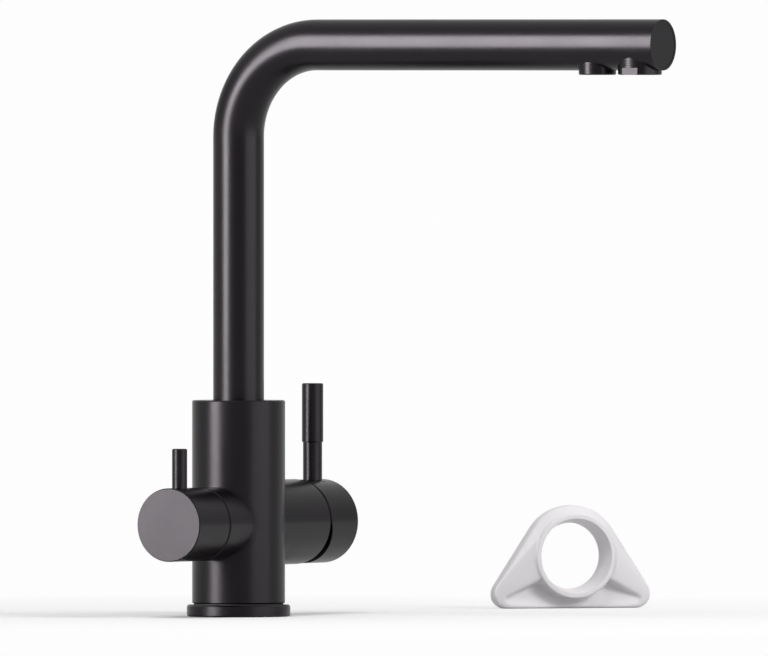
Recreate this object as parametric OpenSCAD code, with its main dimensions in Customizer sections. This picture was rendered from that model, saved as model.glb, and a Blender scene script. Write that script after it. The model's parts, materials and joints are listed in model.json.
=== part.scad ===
// Three way kitchen tap: mixed hot and cold water, and filtered water, through one swivel spout.
// Millimetres. The origin is the centre of the base ring's underside, +Z up. The spout runs
// along +X, the filtered water knob is towards -Y and the mixer is towards +Y.

/* [Base] */
// How far the base ring stands out past the column
base_overhang = 2.9; // [1.5:0.1:9]
// Height of the base ring
base_h = 6.5; // [5:0.5:12]
// Chamfer on the base ring's outer edges
base_chamfer = 0.8; // [0.3:0.1:1.5]
// Height of the dark groove between base ring and column
groove_h = 0.7; // [0.4:0.1:1.5]
// How far the groove's washer sits back from the column's side
groove_inset = 1; // [0.5:0.1:2]
// How far the rubber ring under the base sits in from the base ring's edge
deck_seal_inset = 2.5; // [2:0.1:4]
// Radial width of the rubber ring under the base
deck_seal_w = 3; // [2:0.25:4]
// Thickness of the rubber ring under the base
deck_seal_t = 2; // [1:0.25:3]

/* [Column] */
// Diameter of the column
column_d = 51.2; // [50:0.1:54]
// Height of the column's flat top above the base's underside
column_top = 119; // [116:1:150]
// Chamfer on the column's ends
column_chamfer = 0.6; // [0.3:0.1:1.5]
// Width of the column's shoulder round the spigot that centres the base ring
shoulder_w = 5.6; // [4.5:0.1:6.5]
// Height of both side axes above the base's underside
side_axis_z = 51.3; // [50:0.1:53]
// Size of the small blend where a side boss meets the column
boss_blend = 1.4; // [0.5:0.1:1.5]

/* [Inlets and fixing] */
// Thread bore diameter of each water inlet, for M10 x 1
inlet_d = 9; // [8:0.1:10]
// Depth of each inlet thread
inlet_depth = 16; // [12:1:20]
// Distance of the hot and cold inlets to either side of the centre
inlet_x = 8; // [7.5:0.1:9]
// Distance of the hot and cold inlets towards the mixer
inlet_y = 5; // [4:0.1:6]
// Wall between the filtered water inlet's channel and the valve seat
seat_wall = 2; // [1.2:0.1:3]
// Thread bore diameter of the fixing stud hole, for M8
stud_hole_d = 6.8; // [6:0.1:7]
// Depth of the fixing stud hole
stud_hole_depth = 14; // [10:1:18]
// Wall between the fixing stud hole and the spigot's side
stud_wall = 2.1; // [1.6:0.1:2.6]
// Diameter of the water channels above the inlets
channel_d = 6; // [4:0.1:6.5]

/* [Spout] */
// Outer diameter of the spout tube
spout_d = 28; // [26:0.1:28]
// Wall of the spout tube
spout_wall = 1.5; // [1:0.1:2]
// Height of the level stretch's centreline
spout_level = 314.5; // [280:1:360]
// Centreline radius of the bend
bend_r = 50.5; // [40:0.5:70]
// Reach of the spout from the column's axis to its closed end
spout_reach = 270.9; // [240:0.1:320]
// Thickness of the disc that closes the spout
end_cap_t = 2.4; // [1.5:0.1:3]
// How far the closing disc sits inside the tube's end
end_cap_inset = 0.15; // [0:0.05:0.5]
// Diameter of the column's bore for the spout
spout_bore_d = 30; // [29.5:0.1:31]
// Height of the bore's floor
bore_floor = 74; // [73:0.5:76]
// Length of the spout tube inside the column
tube_seat = 15; // [12:0.5:20]
// Thickness of the slip ring below the spigot
lower_ring_t = 2.2; // [1.2:0.1:3]
// Length of the spigot's neck inside the spout tube
spigot_neck_l = 12; // [8:0.5:14]
// Wall of the spigot below the spout tube
spigot_wall = 4.2; // [3.5:0.1:5]
// Thickness of each spout O-ring
spout_seal_t = 1.9; // [1.5:0.1:2.2]
// Height of the lower spout O-ring above the bore's floor
seal_height = 7; // [6:0.5:8]
// Distance between the two spout O-rings
seal_pitch = 7; // [6:0.5:8]
// Diameter of the spout's retaining grub screw
retaining_screw_d = 5; // [4:0.5:6]
// Distance of the grub screw below the end of the spout tube
retaining_drop = 5.5; // [5:0.1:7]

/* [Outlets] */
// Distance between the filtered and the mixed outlet
outlet_pitch = 26.9; // [24:0.1:42]
// Diameter of the filtered outlet
filtered_d = 20.5; // [18:0.1:22]
// Distance of the mixed outlet from the spout's closed end
mixed_from_end = 14.7; // [14.6:0.1:20]
// Diameter of the mixed outlet
mixed_d = 24; // [22:0.1:24]
// How far both outlets reach below the spout tube
outlet_drop = 2.4; // [1:0.1:8]
// Height of the aerator's head
aerator_head_h = 3.9; // [3:0.1:5]
// Distance across the aerator's wrench flats
aerator_flats = 22; // [20:0.5:23]
// Diameter of the aerator's water way
aerator_bore_d = 18.6; // [14:0.2:19]
// Wall of the aerator's threaded part
aerator_wall = 1.2; // [1:0.1:1.3]
// Length of the aerator's threaded part above its head
aerator_thread_l = 5.8; // [4:0.1:5.8]
// Diameter of the aerator's small holes
aerator_hole_d = 1.6; // [0.8:0.1:1.8]
// Distance between the rings of small holes in the aerator
aerator_hole_pitch = 2.6; // [2:0.1:2.8]
// Diameter of the filtered outlet's nozzle
nozzle_d = 13; // [10:0.5:14]
// How far the nozzle sits inside its collar
nozzle_inset = 0.3; // [0:0.1:1]
// Depth of the collar's bore for the nozzle
nozzle_depth = 5; // [4:0.1:6]
// How far the aerator's insert sits inside its housing
insert_inset = 1; // [0.2:0.1:1.5]
// Thickness of the aerator's washer
washer_t = 1.2; // [0.8:0.1:1.6]
// Outer diameter of the inner tube for filtered water
inner_tube_d = 8; // [6:0.5:8]
// Wall of the inner tube
inner_tube_wall = 1; // [0.5:0.1:1.5]
// Radius of the inner tube's last bend
inner_bend_r = 8; // [6:0.5:9]

/* [Mixer side] */
// Wall of the mixer's boss round the cartridge nut
mixer_boss_wall = 4.2; // [3.5:0.1:5]
// Distance of the boss's end face from the column's axis
mixer_boss_end = 59.5; // [58.5:0.1:62]
// How far the mixer's cap steps in from the boss
cap_step = 0.35; // [0:0.05:1]
// Distance of the cap's outer face from the column's axis
mixer_cap_end = 89.5; // [88.5:0.1:92]
// Wall of the cap
mixer_cap_wall = 2; // [1.2:0.1:2.2]
// Thickness of the cap's outer face
mixer_face_t = 2.8; // [2:0.1:4]
// Gap between the boss and the cap at rest
mixer_gap = 1.9; // [0.8:0.1:2.5]
// Angle of the wedge cut away from the cap's lower half
wedge_angle = 15; // [13.5:0.1:16]
// Distance of the tilt axis from the column's axis
tilt_y = 54; // [53.5:0.1:55]
// How far the lever tilts outwards, in degrees
tilt_range = 13; // [8:0.5:13]
// Distance of the lever's axis from the column's axis
mixer_lever_y = 78.7; // [78.2:0.1:79.2]
// Diameter of the lever's lower pin
mixer_pin_d = 10.6; // [9:0.1:11.2]
// Height of the pin's visible end, where the grip starts
mixer_pin_top = 94.8; // [90:0.1:100]
// Diameter of the lever's grip
mixer_grip_d = 11.8; // [11.4:0.1:14]
// Height of the grip's top
mixer_grip_top = 127.5; // [122:0.5:160]
// Diameter of the pin's spigot inside the grip
grip_spigot_d = 7; // [5:0.5:8]
// Length of the pin's spigot inside the grip
grip_spigot_l = 22; // [15:1:24]
// Diameter of the stud that clamps the cap to the stem, for M6
mixer_stud_d = 6; // [5:0.5:7]
// Depth of the lever pin's seat in the cap
mixer_pin_depth = 7; // [5:0.5:9]
// Edge chamfer on the knob, the cap and the grip
edge_chamfer = 0.5; // [0.2:0.1:0.8]

/* [Mixer cartridge] */
// Diameter of the cartridge
cartridge_d = 35; // [34:0.2:36]
// Distance of the chamber's floor from the column's axis
chamber_floor = 15; // [14.5:0.1:15.5]
// Thickness of the port plate
port_plate_t = 4; // [3.5:0.1:4.5]
// Thickness of the fixed ceramic disc
fixed_disc_t = 4; // [3:0.1:4.5]
// Thickness of the moving ceramic disc
moving_disc_t = 3; // [2.5:0.1:3.5]
// Clearance round the moving ceramic disc at either end of its travel
disc_margin = 0.55; // [0.4:0.05:0.8]
// Thickness of the disc carrier's plate
carrier_t = 7; // [6.5:0.1:7.5]
// Length of the carrier's drive rib
carrier_rib = 2; // [1:0.1:2.2]
// Wall of the cartridge housing
housing_wall = 2.2; // [1.8:0.1:2.5]
// Outer end of the cartridge housing from the column's axis
housing_end = 44; // [43.5:0.1:45]
// Thickness of the housing's outer wall
housing_lip = 4; // [3:0.1:4.5]
// Diameter of the rotor's neck
rotor_neck_d = 20; // [19.5:0.1:21]
// Diameter of the tilt pin
pivot_pin_d = 3; // [2:0.1:3.5]
// Side of the stem's square block
stem_side = 8; // [7.5:0.1:8]
// Diameter of the stem's inner leg
stem_leg_d = 5.2; // [4:0.1:5.4]
// Diameter of the stem's ball end
stem_ball_d = 6; // [5.5:0.1:6.2]
// Diameter of the neck behind the ball end
stem_neck_d = 4; // [3:0.1:4.2]
// Length of the neck behind the ball end
stem_neck_l = 5; // [4:0.1:6]
// Radial width of the rubber rings round the ports
port_seal_w = 1.2; // [0.8:0.1:1.4]
// Thickness of the rubber rings round the ports
port_seal_t = 1.5; // [1:0.1:2]
// Width of the carrier's drive rib
carrier_rib_w = 12; // [9:0.5:13]
// Radial step from the cartridge to its nut's thread
nut_step = 1.8; // [1.4:0.1:2.2]
// Length of the cartridge nut
nut_l = 7; // [6:0.5:8]
// Gap between the domed cover and the cap's inner wall
cover_gap = 1.45; // [0.8:0.05:1.8]
// Wall of the domed cover
cover_wall = 1.4; // [1:0.1:1.8]
// How far the domed cover closes in from its full radius
cover_lip = 4.2; // [3.5:0.1:4.6]
// Diameter of each hot or cold port
inlet_port_d = 5.2; // [4:0.1:5.4]
// Distance of the hot and cold ports to either side of the centre
inlet_port_x = 6.5; // [6:0.1:6.8]
// Height of the hot and cold ports above the side axis
inlet_port_z = 3.5; // [3.3:0.1:3.7]
// Diameter of the mixed water port
outlet_port_d = 6; // [5:0.1:6.4]
// Distance of the mixed water port below the side axis
outlet_port_z = 6; // [5.5:0.1:6.5]

/* [Filter side] */
// Diameter of the filter knob and of its boss
filter_knob_d = 40.4; // [38:0.1:42]
// Distance of the boss's end face from the column's axis
filter_boss_end = 41.1; // [40:0.1:46]
// Gap between the boss and the knob
filter_gap = 1; // [0.5:0.1:1.5]
// Distance of the knob's outer face from the column's axis
filter_knob_end = 74; // [72:0.5:80]
// Wall of the knob
filter_knob_wall = 2.75; // [2:0.05:3.5]
// Thickness of the knob's outer face
filter_face_t = 4; // [3:0.1:5]
// Distance of the small lever's axis from the column's axis
filter_lever_y = 62.3; // [61:0.1:63]
// Diameter of the small lever
filter_lever_d = 8.3; // [7:0.1:9]
// Height of the small lever's top
filter_lever_top = 93; // [85:1:110]
// Diameter of the stud that clamps the knob to the spindle, for M5
filter_stud_d = 5; // [4:0.5:6]
// Depth of the small lever's seat in the knob
filter_pin_depth = 6; // [4:0.5:8]
// Diameter of the valve chamber's thread
filter_chamber_d = 20.9; // [20:0.1:21.5]
// Distance of the valve seat from the column's axis
filter_seat_y = 16; // [15.5:0.1:16.5]
// Thickness of the seat's rubber ring
seat_seal_t = 1.5; // [1:0.1:2]
// Diameter of the filter valve's fixed disc
filter_disc_d = 14.8; // [14:0.1:15]
// Thickness of each ceramic disc of the filter valve
filter_disc_t = 2.5; // [2:0.1:3]
// Diameter of the small ceramic discs' ports
filter_port_d = 4; // [3:0.1:4.2]
// Distance of the small ceramic discs' ports from their centre
filter_port_r = 3.2; // [2.8:0.1:3.6]
// Diameter of the spindle
spindle_d = 8; // [7:0.1:9]
// Thickness of the spindle's O-ring
spindle_seal_t = 1.3; // [1:0.1:1.6]
// Distance across the headwork's hexagon
hexagon_flats = 22; // [21:0.5:24]
// Length of the headwork's hexagon
hexagon_l = 4.5; // [4:0.1:5]

/* [Stabiliser plate] */
// Width of the plate along its long edge
plate_w = 93; // [90:1:110]
// Height of the plate as it stands
plate_h = 57.5; // [55:0.5:65]
// Radius of the two lower corners
plate_corner_r = 8; // [6:0.5:9]
// Thickness of the plate's outer edge
plate_edge = 8; // [6:0.5:10]
// Depth of the collar
plate_depth = 14.5; // [13:0.5:20]
// Height of the collar's axis above the long edge
collar_z = 29.3; // [29:0.1:32]
// Outer diameter of the collar's rim
collar_d = 47.4; // [46:0.2:49]
// Diameter of the collar's hole at the rear
hole_rear_d = 37; // [34:0.5:38]
// Diameter of the collar's hole at the front
hole_front_d = 42; // [40:0.5:43]
// Length of the straight rear stretch of the hole
hole_straight = 4; // [2:0.5:6]
// Bevel on the plate's edges
plate_bevel = 1.2; // [0.5:0.1:1.5]
// Distance of the pocket's inner crease points to either side of the middle
crease_in_x = 20; // [17:0.5:24]
// Height of the pocket's inner crease points above the long edge
crease_in_y = 15; // [12:0.5:17]
// Height of the pocket's outer crease points above the long edge
crease_out_y = 5.6; // [4:0.2:7]
// Tilt of the pocket's floor
pocket_tilt = 10; // [6:0.5:12]
// Place of the plate along X, measured from the column's axis
plate_x = 48; // [40:1:200]
// Place of the plate along Y, measured from the column's axis
plate_y = 279.5; // [190:0.5:300]
// Turn of the plate about the vertical
plate_turn = 51; // [0:1:90]

/* [Hidden] */
$fn = 96;

// Clearances: a running fit, a loose fit and a running gap between faces
running_clear = 0.08;
fit_clear = 0.1;
loose_clear = 0.3;
face_gap = 0.4;
// How far a cut reaches past the face that it opens
cut = 1;
// Play of a seal's ring and of its groove
seal_play = 0.5;
// Small step between neighbouring turned diameters
step = 1;

// Column and base
base_d = column_d + 2 * base_overhang;
deck_seal_d = base_d - 2 * deck_seal_inset;
spigot_d = column_d - 2 * shoulder_w;
column_bottom = base_h + groove_h;
groove_d = column_d - 2 * groove_inset;
filter_inlet_y = filter_seat_y - seat_wall - channel_d / 2;
stud_y = spigot_d / 2 - stud_wall - stud_hole_d / 2;

// Spout
spout_inner_d = spout_d - 2 * spout_wall;
tube_bottom = column_top - tube_seat;
spigot_bottom = bore_floor + lower_ring_t;
spigot_outer_d = spout_bore_d - 2 * loose_clear;
spigot_inner_d = spigot_outer_d - 2 * spigot_wall;
seal_groove_h = spout_seal_t + seal_play;
seal_groove_d = spout_bore_d - 2 * fit_clear - 2 * spout_seal_t - 2 * fit_clear;
retaining_z = tube_bottom - retaining_drop;
retaining_groove_h = retaining_screw_d + 2 * seal_play;
retaining_groove_depth = 1.6;
spout_bottom = spout_level - spout_d / 2;
outlet_bottom = spout_bottom - outlet_drop;
mixed_x = spout_reach - mixed_from_end;
filtered_x = mixed_x - outlet_pitch;

// Inner tube and its socket in the column
socket_depth = 3;
tube_seal_w = 1.6;
tube_seal_t = 1.8;
inner_tube_bottom = bore_floor - socket_depth + face_gap;
filtered_collar_top = spout_level - inner_bend_r;
filter_tube_end = outlet_bottom + nozzle_depth;
mixed_collar_top = spout_level - sqrt(pow(spout_d, 2) - pow(mixed_d, 2)) / 2 + spout_wall;
aerator_thread_d = aerator_bore_d + 2 * aerator_wall;
aerator_split = outlet_bottom + aerator_head_h;
aerator_top = aerator_split + aerator_thread_l;

// Diameters of the mixer, from the cartridge outwards
chamber_d = cartridge_d + 4 * fit_clear;
nut_d = cartridge_d + 2 * nut_step;
mixer_boss_d = nut_d + 2 * mixer_boss_wall;
mixer_cap_d = mixer_boss_d - 2 * cap_step;
cover_r = mixer_cap_d / 2 - mixer_cap_wall - cover_gap;
cover_opening_d = 2 * (cover_r - cover_lip);
housing_bore_d = cartridge_d - 2 * housing_wall;

// Mixer stack, as distances from the column's axis
plate_top = chamber_floor + port_plate_t;
fixed_disc_top = plate_top + fixed_disc_t;
moving_disc_top = fixed_disc_top + moving_disc_t;
carrier_top = moving_disc_top + carrier_t;
rotor_inner = carrier_top + face_gap;
rotor_flange_top = housing_end - housing_lip - loose_clear;
rotor_lug = 4;
rotor_outer = tilt_y + rotor_lug;
ball_inset = 1.5;
ball_y = carrier_top - ball_inset;
lever_arm = tilt_y - ball_y;
disc_travel = lever_arm * sin(tilt_range);
disc_rest = -disc_travel / 2;
moving_disc_d = housing_bore_d - disc_travel - 2 * disc_margin;
nut_start = housing_end + fit_clear;
nut_end = nut_start + nut_l;
cap_inner = mixer_boss_end + mixer_gap;
hub_reach = 7.5;
hub_start = mixer_lever_y - hub_reach;
hub_wall = 5.5;
hub_d = stem_side + 2 * hub_wall;
stem_end_gap = 2;
stem_end = mixer_cap_end - mixer_face_t - stem_end_gap;
stem_block_start = tilt_y - stem_side / 2;
// How far the tilted stem's block reaches from the tilt axis, with its clearance
block_swing = stem_side / 2 * (cos(tilt_range) + sin(tilt_range)) + loose_clear;
mixer_pin_seat = side_axis_z + mixer_cap_d / 2 - mixer_pin_depth;
// Thickness of the pad round each lever's seat
lever_pad = 2;

// Filter stack, as distances from the column's axis
filter_disc_start = filter_seat_y + seat_seal_t;
filter_moving_start = filter_disc_start + filter_disc_t;
spindle_start = filter_moving_start + filter_disc_t;
spindle_foot = 3.5;
spindle_foot_d = filter_disc_d - 2 * step;
headwork_bore_end = spindle_start + spindle_foot + loose_clear;
hexagon_end = filter_boss_end + hexagon_l;
clip_start = hexagon_end + 2 * fit_clear;
clip_t = 1;
clip_w = 2;
clip_groove = 0.8;
clip_slot = 3;
knob_start = filter_boss_end + filter_gap;
knob_hub_gap = 2.4;
knob_hub_start = clip_start + clip_t + knob_hub_gap;
knob_hub_wall = 3.5;
knob_hub_d = spindle_d + 2 * knob_hub_wall;
spindle_end_gap = 3.5;
spindle_end = filter_knob_end - filter_face_t - spindle_end_gap;
spindle_flat = 3.2;
window_y = spindle_start + spindle_foot / 2;
window_d = 3.6;
spindle_seal_offset = 6;
spindle_seal_y = headwork_bore_end + spindle_seal_offset;
filter_pin_seat = side_axis_z + filter_knob_d / 2 - filter_pin_depth;
// The channel from the filter valve crosses over to the middle above the valve's chamber
crossing_rise = 4.3;
crossing_z = side_axis_z + filter_chamber_d / 2 + crossing_rise;
relief_w = 1.5;

// Colours
satin_black = "#343436";
brass = "#c9a85a";
steel = "#c6c9cc";
ceramic = "#eef0f2";
rubber = "#222224";
polymer = "#dcdcd8";
dark_polymer = "#2e2e30";
white_polymer = "#ececee";

// A plain round ring or tube that stands on the XY plane
module ring(outer_d, inner_d, height) {
  difference() {
    cylinder(d = outer_d, h = height);
    translate([0, 0, -cut]) cylinder(d = inner_d, h = height + 2 * cut);
  }
}

// A round bar with chamfered ends that stands on the XY plane
module chamfered_bar(diameter, height, chamfer) {
  r = diameter / 2;
  rotate_extrude()
    polygon([
      [0, 0], [r - chamfer, 0], [r, chamfer],
      [r, height - chamfer], [r - chamfer, height], [0, height]
    ]);
}

// Turns an upright shape so that it points towards the mixer, from a distance along +Y
module towards_mixer(distance) {
  translate([0, distance, side_axis_z]) rotate([-90, 0, 0]) children();
}

// Turns an upright shape so that it points towards the filter knob, from a distance along -Y
module towards_filter(distance) {
  translate([0, -distance, side_axis_z]) rotate([90, 0, 0]) children();
}

// The three ports of the mixer cartridge, as bores along +Y
module mixer_ports(start, length) {
  for (side = [-1, 1])
    translate([side * inlet_port_x, 0, inlet_port_z])
      towards_mixer(start) cylinder(d = inlet_port_d, h = length);
  translate([0, 0, -outlet_port_z])
    towards_mixer(start) cylinder(d = outlet_port_d, h = length);
}

// A solid bar along the spout's centreline, from a start height to an end distance
module spout_route(diameter, start_z, end_x) {
  r = diameter / 2;
  translate([0, 0, start_z]) cylinder(r = r, h = spout_level - bend_r - start_z);
  translate([bend_r, 0, spout_level - bend_r])
    rotate([90, 0, 0])
      rotate([0, 0, 90])
        rotate_extrude(angle = 90) translate([bend_r, 0]) circle(r = r);
  translate([bend_r, 0, spout_level]) rotate([0, 90, 0]) cylinder(r = r, h = end_x - bend_r);
}

// A solid bar along the inner tube's centreline, down into the filtered outlet
module inner_route(diameter, start_z, end_z) {
  turn_x = filtered_x - inner_bend_r;
  spout_route(diameter, start_z, turn_x);
  translate([turn_x, 0, spout_level - inner_bend_r])
    rotate([90, 0, 0])
      rotate_extrude(angle = 90) translate([inner_bend_r, 0]) circle(d = diameter);
  translate([filtered_x, 0, end_z]) cylinder(d = diameter, h = spout_level - inner_bend_r - end_z);
}

module base_ring() {
  color(satin_black)
    difference() {
      chamfered_bar(base_d, base_h, base_chamfer);
      translate([0, 0, -cut]) cylinder(d = spigot_d + 2 * fit_clear, h = base_h + 2 * cut);
      translate([0, 0, -cut])
        ring(deck_seal_d + 2 * fit_clear, deck_seal_d - 2 * deck_seal_w - 2 * fit_clear, deck_seal_t + cut);
    }
}

module base_seal() {
  color(rubber) translate([0, 0, base_h]) ring(groove_d, spigot_d + 2 * fit_clear, groove_h);
}

module deck_seal() {
  color(rubber) ring(deck_seal_d, deck_seal_d - 2 * deck_seal_w, deck_seal_t);
}

// The small blend that follows the line where a boss meets the column, in a few steps
module boss_blend_ring(boss_d, direction) {
  steps = 4;
  least = 0.15;
  for (i = [1:steps]) {
    column_out = boss_blend * (1 - cos(90 * i / steps)) + least;
    boss_out = boss_blend * (1 - sin(90 * i / steps)) + least;
    intersection() {
      cylinder(d = column_d + 2 * boss_out, h = column_top - column_chamfer);
      translate([0, 0, side_axis_z])
        rotate([-90 * direction, 0, 0])
          cylinder(d = boss_d + 2 * column_out, h = column_d);
    }
  }
}

// The water channels inside the column
module water_channels() {
  for (side = [-1, 1]) {
    translate([side * inlet_x, inlet_y, -cut]) cylinder(d = inlet_d, h = inlet_depth + cut);
    translate([side * inlet_x, inlet_y, 0])
      cylinder(d = channel_d, h = side_axis_z + inlet_port_z + inlet_port_d / 2 + cut);
    translate([side * inlet_port_x, 0, inlet_port_z])
      towards_mixer(inlet_y) cylinder(d = inlet_port_d, h = chamber_floor - inlet_y + cut);
  }
  mixed_y = chamber_floor - channel_d;
  rise_d = outlet_port_d + step;
  translate([0, 0, -outlet_port_z])
    towards_mixer(mixed_y) cylinder(d = outlet_port_d, h = chamber_floor - mixed_y + cut);
  translate([0, mixed_y, side_axis_z - outlet_port_z - rise_d / 2 - cut])
    cylinder(d = rise_d, h = bore_floor - side_axis_z + outlet_port_z + rise_d / 2 + 2 * cut);
  translate([0, -filter_inlet_y, -cut]) cylinder(d = inlet_d, h = inlet_depth + cut);
  translate([0, -filter_inlet_y, 0])
    cylinder(d = channel_d, h = side_axis_z + channel_d / 2 + cut);
  towards_filter(filter_inlet_y)
    cylinder(d = channel_d - step, h = filter_seat_y - filter_inlet_y + cut);
  translate([0, -window_y, side_axis_z]) cylinder(d = window_d, h = crossing_z - side_axis_z);
  translate([0, 0, crossing_z])
    rotate([90, 0, 0])
      cylinder(d = window_d + step, h = window_y + window_d / 2 + cut);
  translate([0, 0, crossing_z - window_d / 2])
    cylinder(d = inner_tube_d - 2 * inner_tube_wall, h = bore_floor - crossing_z);
}

module valve_body() {
  color(satin_black)
    difference() {
      union() {
        translate([0, 0, column_bottom])
          chamfered_bar(column_d, column_top - column_bottom, column_chamfer);
        cylinder(d = spigot_d, h = column_bottom + cut);
        towards_mixer(0) chamfered_bar(mixer_boss_d, mixer_boss_end, edge_chamfer);
        towards_filter(0) chamfered_bar(filter_knob_d, filter_boss_end, edge_chamfer);
        boss_blend_ring(mixer_boss_d, 1);
        boss_blend_ring(filter_knob_d, -1);
      }
      translate([0, 0, bore_floor]) cylinder(d = spout_bore_d, h = column_top);
      towards_mixer(chamber_floor) cylinder(d = chamber_d, h = mixer_boss_end);
      towards_mixer(nut_start - fit_clear) cylinder(d = nut_d + 2 * fit_clear, h = mixer_boss_end);
      towards_filter(filter_seat_y)
        cylinder(d = filter_chamber_d + 2 * fit_clear, h = filter_boss_end);
      towards_filter(window_y - window_d / 2 - cut / 2)
        cylinder(d = filter_chamber_d + 2 * relief_w, h = window_d + cut);
      water_channels();
      translate([0, stud_y, -cut]) cylinder(d = stud_hole_d, h = stud_hole_depth + cut);
      translate([0, 0, bore_floor - socket_depth])
        cylinder(d = inner_tube_d + 2 * fit_clear, h = socket_depth + cut);
      translate([0, 0, bore_floor - tube_seal_t - fit_clear])
        cylinder(d = inner_tube_d + 2 * tube_seal_w + 4 * fit_clear, h = tube_seal_t + fit_clear + cut);
      translate([-column_d / 2 - cut, 0, retaining_z])
        rotate([0, 90, 0])
          cylinder(d = retaining_screw_d + 2 * fit_clear, h = column_d / 2);
    }
}

module cartridge_base() {
  color(dark_polymer)
    difference() {
      towards_mixer(chamber_floor) cylinder(d = cartridge_d, h = port_plate_t);
      mixer_ports(chamber_floor - cut, port_plate_t + 2 * cut);
      port_seals(2 * fit_clear, fit_clear);
    }
}

// The rubber rings round the three ports, grown on each side where they are cut out
module port_seals(grow_d, grow_t) {
  inner_d = outlet_port_d + seal_play - grow_d;
  outer_d = outlet_port_d + seal_play + 2 * port_seal_w + grow_d;
  places = [
    [-inlet_port_x, inlet_port_z], [inlet_port_x, inlet_port_z], [0, -outlet_port_z]
  ];
  for (place = places)
    translate([place[0], 0, place[1]])
      towards_mixer(chamber_floor) ring(outer_d, inner_d, port_seal_t + grow_t);
}

module cartridge_seals() {
  color(rubber) port_seals(0, 0);
}

module mixer_fixed_disc() {
  color(ceramic)
    difference() {
      towards_mixer(plate_top)
        cylinder(d = housing_bore_d - 4 * fit_clear, h = fixed_disc_t);
      mixer_ports(plate_top - cut, fixed_disc_t + 2 * cut);
    }
}

module cartridge_housing() {
  color(polymer)
    difference() {
      towards_mixer(plate_top) cylinder(d = cartridge_d, h = housing_end - plate_top);
      towards_mixer(plate_top - cut)
        cylinder(d = housing_bore_d, h = housing_end - housing_lip - plate_top + cut);
      towards_mixer(plate_top) cylinder(d = rotor_neck_d + 2 * running_clear, h = housing_end);
    }
}

module cartridge_nut() {
  color(brass) towards_mixer(nut_start) ring(nut_d, rotor_neck_d + 4 * step, nut_l);
}

// A ring cut from a ball shell about the tilt centre
module cartridge_cover() {
  cover_start = nut_end + fit_clear - tilt_y;
  cover_end = sqrt(pow(cover_r, 2) - pow(cover_opening_d / 2, 2));
  color(dark_polymer)
    towards_mixer(tilt_y)
      intersection() {
        difference() {
          sphere(r = cover_r);
          sphere(r = cover_r - cover_wall);
        }
        translate([0, 0, cover_start]) cylinder(d = nut_d, h = cover_end - cover_start);
      }
}

module filter_seat_seal() {
  color(rubber)
    towards_filter(filter_seat_y)
      ring(filter_disc_d + 3 * seal_play, channel_d + 3 * seal_play, seat_seal_t);
}

module filter_headwork() {
  color(brass)
    difference() {
      union() {
        towards_filter(filter_disc_start)
          cylinder(d = filter_chamber_d, h = filter_boss_end - filter_disc_start);
        towards_filter(filter_boss_end)
          rotate([0, 0, 30]) cylinder(d = hexagon_flats / cos(30), h = hexagon_l, $fn = 6);
      }
      towards_filter(filter_disc_start - cut)
        cylinder(d = filter_disc_d + 2 * fit_clear, h = headwork_bore_end - filter_disc_start + cut);
      towards_filter(filter_disc_start)
        cylinder(d = spindle_d + 2 * running_clear, h = hexagon_end);
      translate([0, -window_y, side_axis_z])
        for (angle = [0, 90])
          rotate([0, angle, 0])
            translate([0, 0, -filter_chamber_d])
              cylinder(d = window_d, h = 2 * filter_chamber_d);
    }
}

module filter_fixed_disc() {
  color(ceramic)
    towards_filter(filter_disc_start)
      difference() {
        cylinder(d = filter_disc_d, h = filter_disc_t);
        for (side = [-1, 1])
          translate([side * filter_port_r, 0, -cut])
            cylinder(d = filter_port_d, h = filter_disc_t + 2 * cut);
      }
}

module filter_moving_disc() {
  color(ceramic)
    towards_filter(filter_moving_start)
      difference() {
        cylinder(d = filter_disc_d - 2 * fit_clear, h = filter_disc_t);
        for (side = [-1, 1])
          translate([0, side * filter_port_r, -cut])
            cylinder(d = filter_port_d, h = filter_disc_t + 2 * cut);
      }
}

module filter_spindle() {
  color(brass)
    difference() {
      union() {
        towards_filter(spindle_start) cylinder(d = spindle_foot_d, h = spindle_foot);
        towards_filter(spindle_start) cylinder(d = spindle_d, h = spindle_end - spindle_start);
      }
      towards_filter(clip_start)
        ring(spindle_d + cut, spindle_d - 2 * clip_groove, clip_t + fit_clear);
      towards_filter(spindle_seal_y)
        ring(spindle_d + cut, spindle_d - 2 * spindle_seal_t, spindle_seal_t + loose_clear);
      translate([-spindle_d / 2, -spindle_end - cut, side_axis_z + spindle_flat])
        cube([spindle_d, spindle_end - knob_hub_start + cut, spindle_d]);
    }
}

module filter_spindle_seal() {
  color(rubber)
    towards_filter(spindle_seal_y + loose_clear / 2)
      ring(spindle_d, spindle_d - 2 * spindle_seal_t + fit_clear, spindle_seal_t);
}

module filter_spindle_clip() {
  color(steel)
    towards_filter(clip_start)
      difference() {
        ring(spindle_d + 2 * clip_w, spindle_d - 2 * clip_groove + fit_clear, clip_t);
        translate([-clip_slot / 2, 0, -cut]) cube([clip_slot, spindle_d, clip_t + 2 * cut]);
      }
}

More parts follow.
